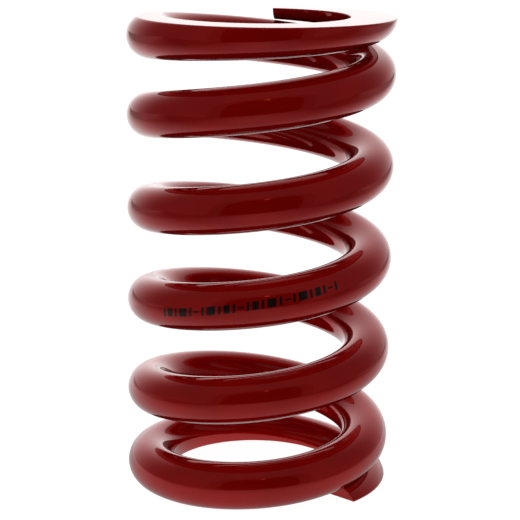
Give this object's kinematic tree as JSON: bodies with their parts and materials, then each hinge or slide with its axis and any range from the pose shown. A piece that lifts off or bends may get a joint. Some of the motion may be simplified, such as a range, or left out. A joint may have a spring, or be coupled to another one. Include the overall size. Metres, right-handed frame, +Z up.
{
  "type": "coil spring",
  "caption": "Helical compression spring of round steel wire with closed and ground flat ends, gloss red coating, for a coil-over damper.",
  "frame": {"origin": "on the spring's axis, in the plane of its bottom seat", "axes": "+Z up the axis from the bottom seat to the top seat; the spring is right-hand wound; seen from above, the bottom tip is 42 degrees clockwise from +X and the top tip 83 degrees anticlockwise from it"},
  "size_m": [0.085, 0.085, 0.15],
  "materials": {
    "red_coating": "gloss",
    "ink_mark": "satin"
  },
  "bodies": {
    "bottom_end_coil": {"bottom_end_coil_section_1": "red_coating", "bottom_end_coil_section_2": "red_coating", "bottom_end_coil_section_3": "red_coating", "bottom_end_coil_section_4": "red_coating", "bottom_end_coil_section_5": "red_coating", "bottom_end_coil_section_6": "red_coating", "bottom_end_coil_section_7": "red_coating", "bottom_end_coil_section_8": "red_coating", "working_coil_1_section_1": "red_coating"},
    "working_coil_1_section_2": {"working_coil_1_section_2": "red_coating"},
    "working_coil_1_section_3": {"working_coil_1_section_3": "red_coating"},
    "working_coil_1_section_4": {"working_coil_1_section_4": "red_coating"},
    "working_coil_1_section_5": {"working_coil_1_section_5": "red_coating"},
    "working_coil_1_section_6": {"working_coil_1_section_6": "red_coating"},
    "working_coil_1_section_7": {"working_coil_1_section_7": "red_coating"},
    "working_coil_2_section_1": {"working_coil_2_section_1": "red_coating"},
    "working_coil_2_section_2": {"working_coil_2_section_2": "red_coating"},
    "working_coil_2_section_3": {"working_coil_2_section_3": "red_coating"},
    "working_coil_2_section_4": {"working_coil_2_section_4": "red_coating"},
    "working_coil_2_section_5": {"working_coil_2_section_5": "red_coating"},
    "working_coil_2_section_6": {"working_coil_2_section_6": "red_coating"},
    "working_coil_2_section_7": {"working_coil_2_section_7": "red_coating"},
    "working_coil_3_section_1": {"working_coil_3_section_1": "red_coating"},
    "working_coil_3_section_2": {"working_coil_3_section_2": "red_coating"},
    "working_coil_3_section_3": {"working_coil_3_section_3": "red_coating"},
    "working_coil_3_section_4": {"working_coil_3_section_4": "red_coating"},
    "working_coil_3_section_5": {"working_coil_3_section_5": "red_coating"},
    "working_coil_3_section_6": {"working_coil_3_section_6": "red_coating"},
    "working_coil_3_section_7": {"working_coil_3_section_7": "red_coating"},
    "working_coil_4_section_1": {"working_coil_4_section_1": "red_coating"},
    "working_coil_4_section_2": {"working_coil_4_section_2": "red_coating"},
    "working_coil_4_section_3": {"working_coil_4_section_3": "red_coating"},
    "working_coil_4_section_4": {"working_coil_4_section_4": "red_coating"},
    "working_coil_4_section_5": {"working_coil_4_section_5": "red_coating"},
    "working_coil_4_section_6": {"working_coil_4_section_6": "red_coating"},
    "working_coil_4_section_7": {"working_coil_4_section_7": "red_coating"},
    "working_coil_5_section_1": {"working_coil_5_section_1": "red_coating"},
    "working_coil_5_section_2": {"working_coil_5_section_2": "red_coating"},
    "working_coil_5_section_3": {"working_coil_5_section_3": "red_coating"},
    "working_coil_5_section_4": {"working_coil_5_section_4": "red_coating"},
    "working_coil_5_section_5": {"working_coil_5_section_5": "red_coating"},
    "working_coil_5_section_6": {"working_coil_5_section_6": "red_coating"},
    "top_end_coil": {"working_coil_5_section_7": "red_coating", "top_end_coil_section_1": "red_coating", "top_end_coil_section_2": "red_coating", "top_end_coil_section_3": "red_coating", "top_end_coil_section_4": "red_coating", "top_end_coil_section_5": "red_coating", "top_end_coil_section_6": "red_coating", "top_end_coil_section_7": "red_coating", "top_end_coil_section_8": "red_coating"}
  },
  "joints": [
    {"name": "compression", "type": "slide", "parent": "bottom_end_coil", "child": "top_end_coil", "axis": [0, 0, 1], "range_m": [-0.05, 0], "stiffness_N_per_m": 265000},
    {"name": "flex_1_2", "type": "slide", "parent": "bottom_end_coil", "child": "working_coil_1_section_2", "axis": [0, 0, 1], "range_m": [-0.000403, 0]},
    {"name": "flex_1_3", "type": "slide", "parent": "bottom_end_coil", "child": "working_coil_1_section_3", "axis": [0, 0, 1], "range_m": [-0.00146, 0]},
    {"name": "flex_1_4", "type": "slide", "parent": "bottom_end_coil", "child": "working_coil_1_section_4", "axis": [0, 0, 1], "range_m": [-0.00298, 0]},
    {"name": "flex_1_5", "type": "slide", "parent": "bottom_end_coil", "child": "working_coil_1_section_5", "axis": [0, 0, 1], "range_m": [-0.00456, 0]},
    {"name": "flex_1_6", "type": "slide", "parent": "bottom_end_coil", "child": "working_coil_1_section_6", "axis": [0, 0, 1], "range_m": [-0.00613, 0]},
    {"name": "flex_1_7", "type": "slide", "parent": "bottom_end_coil", "child": "working_coil_1_section_7", "axis": [0, 0, 1], "range_m": [-0.0077, 0]},
    {"name": "flex_2_1", "type": "slide", "parent": "bottom_end_coil", "child": "working_coil_2_section_1", "axis": [0, 0, 1], "range_m": [-0.00928, 0]},
    {"name": "flex_2_2", "type": "slide", "parent": "bottom_end_coil", "child": "working_coil_2_section_2", "axis": [0, 0, 1], "range_m": [-0.01085, 0]},
    {"name": "flex_2_3", "type": "slide", "parent": "bottom_end_coil", "child": "working_coil_2_section_3", "axis": [0, 0, 1], "range_m": [-0.01242, 0]},
    {"name": "flex_2_4", "type": "slide", "parent": "bottom_end_coil", "child": "working_coil_2_section_4", "axis": [0, 0, 1], "range_m": [-0.014, 0]},
    {"name": "flex_2_5", "type": "slide", "parent": "bottom_end_coil", "child": "working_coil_2_section_5", "axis": [0, 0, 1], "range_m": [-0.01557, 0]},
    {"name": "flex_2_6", "type": "slide", "parent": "bottom_end_coil", "child": "working_coil_2_section_6", "axis": [0, 0, 1], "range_m": [-0.01714, 0]},
    {"name": "flex_2_7", "type": "slide", "parent": "bottom_end_coil", "child": "working_coil_2_section_7", "axis": [0, 0, 1], "range_m": [-0.01872, 0]},
    {"name": "flex_3_1", "type": "slide", "parent": "bottom_end_coil", "child": "working_coil_3_section_1", "axis": [0, 0, 1], "range_m": [-0.02029, 0]},
    {"name": "flex_3_2", "type": "slide", "parent": "bottom_end_coil", "child": "working_coil_3_section_2", "axis": [0, 0, 1], "range_m": [-0.02186, 0]},
    {"name": "flex_3_3", "type": "slide", "parent": "bottom_end_coil", "child": "working_coil_3_section_3", "axis": [0, 0, 1], "range_m": [-0.02344, 0]},
    {"name": "flex_3_4", "type": "slide", "parent": "bottom_end_coil", "child": "working_coil_3_section_4", "axis": [0, 0, 1], "range_m": [-0.02501, 0]},
    {"name": "flex_3_5", "type": "slide", "parent": "bottom_end_coil", "child": "working_coil_3_section_5", "axis": [0, 0, 1], "range_m": [-0.02658, 0]},
    {"name": "flex_3_6", "type": "slide", "parent": "bottom_end_coil", "child": "working_coil_3_section_6", "axis": [0, 0, 1], "range_m": [-0.02816, 0]},
    {"name": "flex_3_7", "type": "slide", "parent": "bottom_end_coil", "child": "working_coil_3_section_7", "axis": [0, 0, 1], "range_m": [-0.02973, 0]},
    {"name": "flex_4_1", "type": "slide", "parent": "bottom_end_coil", "child": "working_coil_4_section_1", "axis": [0, 0, 1], "range_m": [-0.0313, 0]},
    {"name": "flex_4_2", "type": "slide", "parent": "bottom_end_coil", "child": "working_coil_4_section_2", "axis": [0, 0, 1], "range_m": [-0.03288, 0]},
    {"name": "flex_4_3", "type": "slide", "parent": "bottom_end_coil", "child": "working_coil_4_section_3", "axis": [0, 0, 1], "range_m": [-0.03445, 0]},
    {"name": "flex_4_4", "type": "slide", "parent": "bottom_end_coil", "child": "working_coil_4_section_4", "axis": [0, 0, 1], "range_m": [-0.03602, 0]},
    {"name": "flex_4_5", "type": "slide", "parent": "bottom_end_coil", "child": "working_coil_4_section_5", "axis": [0, 0, 1], "range_m": [-0.0376, 0]},
    {"name": "flex_4_6", "type": "slide", "parent": "bottom_end_coil", "child": "working_coil_4_section_6", "axis": [0, 0, 1], "range_m": [-0.03917, 0]},
    {"name": "flex_4_7", "type": "slide", "parent": "bottom_end_coil", "child": "working_coil_4_section_7", "axis": [0, 0, 1], "range_m": [-0.04074, 0]},
    {"name": "flex_5_1", "type": "slide", "parent": "bottom_end_coil", "child": "working_coil_5_section_1", "axis": [0, 0, 1], "range_m": [-0.04232, 0]},
    {"name": "flex_5_2", "type": "slide", "parent": "bottom_end_coil", "child": "working_coil_5_section_2", "axis": [0, 0, 1], "range_m": [-0.04389, 0]},
    {"name": "flex_5_3", "type": "slide", "parent": "bottom_end_coil", "child": "working_coil_5_section_3", "axis": [0, 0, 1], "range_m": [-0.04546, 0]},
    {"name": "flex_5_4", "type": "slide", "parent": "bottom_end_coil", "child": "working_coil_5_section_4", "axis": [0, 0, 1], "range_m": [-0.04704, 0]},
    {"name": "flex_5_5", "type": "slide", "parent": "bottom_end_coil", "child": "working_coil_5_section_5", "axis": [0, 0, 1], "range_m": [-0.04856, 0]},
    {"name": "flex_5_6", "type": "slide", "parent": "bottom_end_coil", "child": "working_coil_5_section_6", "axis": [0, 0, 1], "range_m": [-0.04962, 0]}
  ],
  "couplings": [
    {"joint": "flex_1_2", "follows": "compression", "ratio": 0.00785},
    {"joint": "flex_1_3", "follows": "compression", "ratio": 0.029},
    {"joint": "flex_1_4", "follows": "compression", "ratio": 0.05946},
    {"joint": "flex_1_5", "follows": "compression", "ratio": 0.09093},
    {"joint": "flex_1_6", "follows": "compression", "ratio": 0.1224},
    {"joint": "flex_1_7", "follows": "compression", "ratio": 0.15386},
    {"joint": "flex_2_1", "follows": "compression", "ratio": 0.18533},
    {"joint": "flex_2_2", "follows": "compression", "ratio": 0.2168},
    {"joint": "flex_2_3", "follows": "compression", "ratio": 0.24826},
    {"joint": "flex_2_4", "follows": "compression", "ratio": 0.27973},
    {"joint": "flex_2_5", "follows": "compression", "ratio": 0.3112},
    {"joint": "flex_2_6", "follows": "compression", "ratio": 0.34267},
    {"joint": "flex_2_7", "follows": "compression", "ratio": 0.37413},
    {"joint": "flex_3_1", "follows": "compression", "ratio": 0.4056},
    {"joint": "flex_3_2", "follows": "compression", "ratio": 0.43707},
    {"joint": "flex_3_3", "follows": "compression", "ratio": 0.46853},
    {"joint": "flex_3_4", "follows": "compression", "ratio": 0.5},
    {"joint": "flex_3_5", "follows": "compression", "ratio": 0.53147},
    {"joint": "flex_3_6", "follows": "compression", "ratio": 0.56293},
    {"joint": "flex_3_7", "follows": "compression", "ratio": 0.5944},
    {"joint": "flex_4_1", "follows": "compression", "ratio": 0.62587},
    {"joint": "flex_4_2", "follows": "compression", "ratio": 0.65733},
    {"joint": "flex_4_3", "follows": "compression", "ratio": 0.6888},
    {"joint": "flex_4_4", "follows": "compression", "ratio": 0.72027},
    {"joint": "flex_4_5", "follows": "compression", "ratio": 0.75174},
    {"joint": "flex_4_6", "follows": "compression", "ratio": 0.7832},
    {"joint": "flex_4_7", "follows": "compression", "ratio": 0.81467},
    {"joint": "flex_5_1", "follows": "compression", "ratio": 0.84614},
    {"joint": "flex_5_2", "follows": "compression", "ratio": 0.8776},
    {"joint": "flex_5_3", "follows": "compression", "ratio": 0.90907},
    {"joint": "flex_5_4", "follows": "compression", "ratio": 0.94054},
    {"joint": "flex_5_5", "follows": "compression", "ratio": 0.971},
    {"joint": "flex_5_6", "follows": "compression", "ratio": 0.99215}
  ]
}
